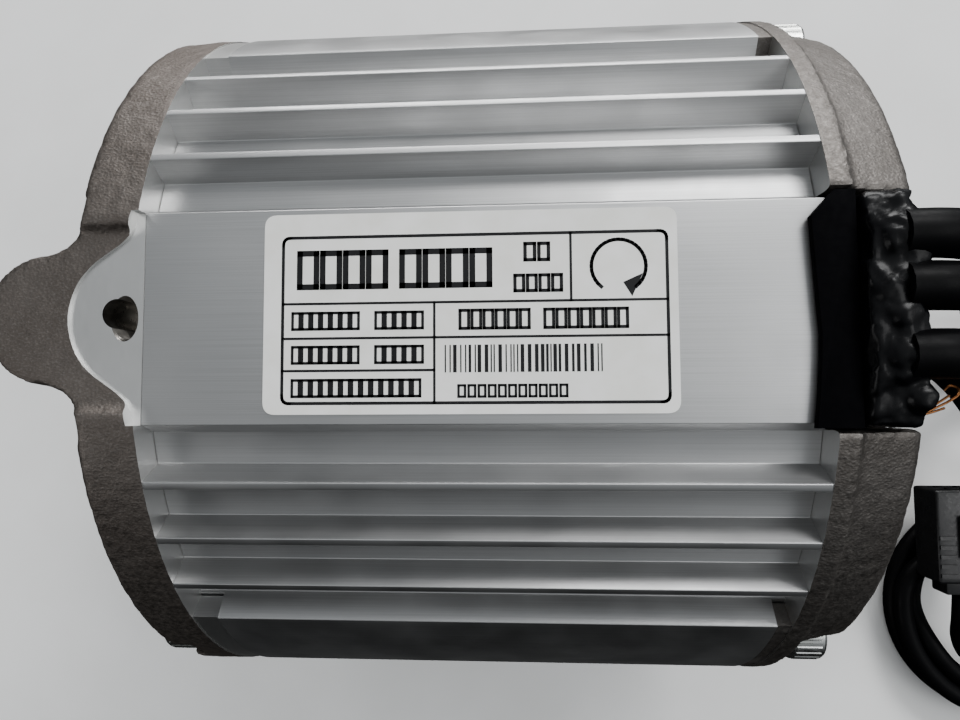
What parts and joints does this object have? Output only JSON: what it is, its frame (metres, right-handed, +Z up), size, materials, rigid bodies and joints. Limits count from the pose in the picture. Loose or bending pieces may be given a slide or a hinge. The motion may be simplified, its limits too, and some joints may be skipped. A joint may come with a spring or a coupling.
{
  "type": "finned brushless motor",
  "caption": "Finned cylindrical brushless motor with cast end bells, a sprocket on its shaft, and sealed leads; its rotor turns freely inside.",
  "frame": {"origin": "centre of the motor's footprint on the surface it lies on, leads left out", "axes": "+X along the shaft from the drive end to the lead end, +Z up out of the label"},
  "size_m": [0.27, 0.2143, 0.1116],
  "materials": {
    "extruded_aluminium": "satin, fine grain along the fins",
    "cast_aluminium": "rough as-cast skin, machined seats bright",
    "zinc_steel": "zinc plated",
    "bearing_steel": "ground",
    "shaft_steel": "turned",
    "lamination_steel": "stacked sheets, varnished",
    "magnet_nickel": "nickel plated",
    "copper_wire": "enamelled copper wire",
    "nylon": "moulded",
    "circuit_board": "solder mask",
    "black_plastic": "moulded, fine grain",
    "rubber_seal": "matt",
    "silicone_sealant": "glossy, hand applied",
    "label_film": "silver film, black print",
    "lead_jacket": "satin black jacket",
    "tinned_brass": "tinned, half sleeved"
  },
  "bodies": {
    "motor_frame": {"finned_housing": "extruded_aluminium", "front_end_bell": "cast_aluminium", "rear_end_bell": "cast_aluminium", "front_tie_screw_1": "zinc_steel", "front_tie_screw_2": "zinc_steel", "front_tie_screw_3": "zinc_steel", "front_tie_screw_4": "zinc_steel", "rear_tie_screw_1": "zinc_steel", "rear_tie_screw_2": "zinc_steel", "rear_tie_screw_3": "zinc_steel", "rear_tie_screw_4": "zinc_steel", "stator_core": "lamination_steel", "front_slot_insulator": "nylon", "rear_slot_insulator": "nylon", "phase_winding_u": "copper_wire", "phase_winding_v": "copper_wire", "phase_winding_w": "copper_wire", "hall_sensor_board": "circuit_board", "hall_sensor_1": "black_plastic", "hall_sensor_2": "black_plastic", "hall_sensor_3": "black_plastic", "front_bearing_outer_race": "bearing_steel", "rear_bearing_outer_race": "bearing_steel", "bearing_wave_washer": "bearing_steel", "bearing_circlip": "bearing_steel", "shaft_oil_seal": "rubber_seal", "rating_label": "label_film", "cable_grommet": "rubber_seal", "cable_sealant": "silicone_sealant", "phase_lead_1": "lead_jacket", "phase_lead_2": "lead_jacket", "phase_lead_3": "lead_jacket", "phase_bullet_1": "tinned_brass", "phase_bullet_2": "tinned_brass", "phase_bullet_3": "tinned_brass", "sensor_lead": "lead_jacket", "sensor_lead_coil": "lead_jacket", "sensor_lead_tail": "lead_jacket", "sensor_plug": "black_plastic"},
    "rotor": {"rotor_shaft": "shaft_steel", "rotor_core": "lamination_steel", "rotor_magnet_1": "magnet_nickel", "rotor_magnet_2": "magnet_nickel", "rotor_magnet_3": "magnet_nickel", "rotor_magnet_4": "magnet_nickel", "rotor_magnet_5": "magnet_nickel", "rotor_magnet_6": "magnet_nickel", "rotor_magnet_7": "magnet_nickel", "rotor_magnet_8": "magnet_nickel", "front_bearing_inner_race": "bearing_steel", "rear_bearing_inner_race": "bearing_steel", "sprocket_key": "shaft_steel", "drive_sprocket": "shaft_steel", "sprocket_washer": "zinc_steel", "sprocket_nut": "zinc_steel"},
    "front_ball_cage": {"front_bearing_ball_cage": "bearing_steel"},
    "rear_ball_cage": {"rear_bearing_ball_cage": "bearing_steel"}
  },
  "joints": [
    {"name": "rotor_spin", "type": "hinge", "parent": "motor_frame", "child": "rotor", "pos_m": [0, 0, 0.053], "axis": [1, 0, 0], "continuous": true},
    {"name": "front_cage_spin", "type": "hinge", "parent": "motor_frame", "child": "front_ball_cage", "pos_m": [-0.0305, 0, 0.053], "axis": [1, 0, 0], "continuous": true},
    {"name": "rear_cage_spin", "type": "hinge", "parent": "motor_frame", "child": "rear_ball_cage", "pos_m": [0.0585, 0, 0.053], "axis": [1, 0, 0], "continuous": true}
  ],
  "couplings": [
    {"joint": "front_cage_spin", "follows": "rotor_spin", "ratio": 0.389},
    {"joint": "rear_cage_spin", "follows": "rotor_spin", "ratio": 0.389}
  ]
}
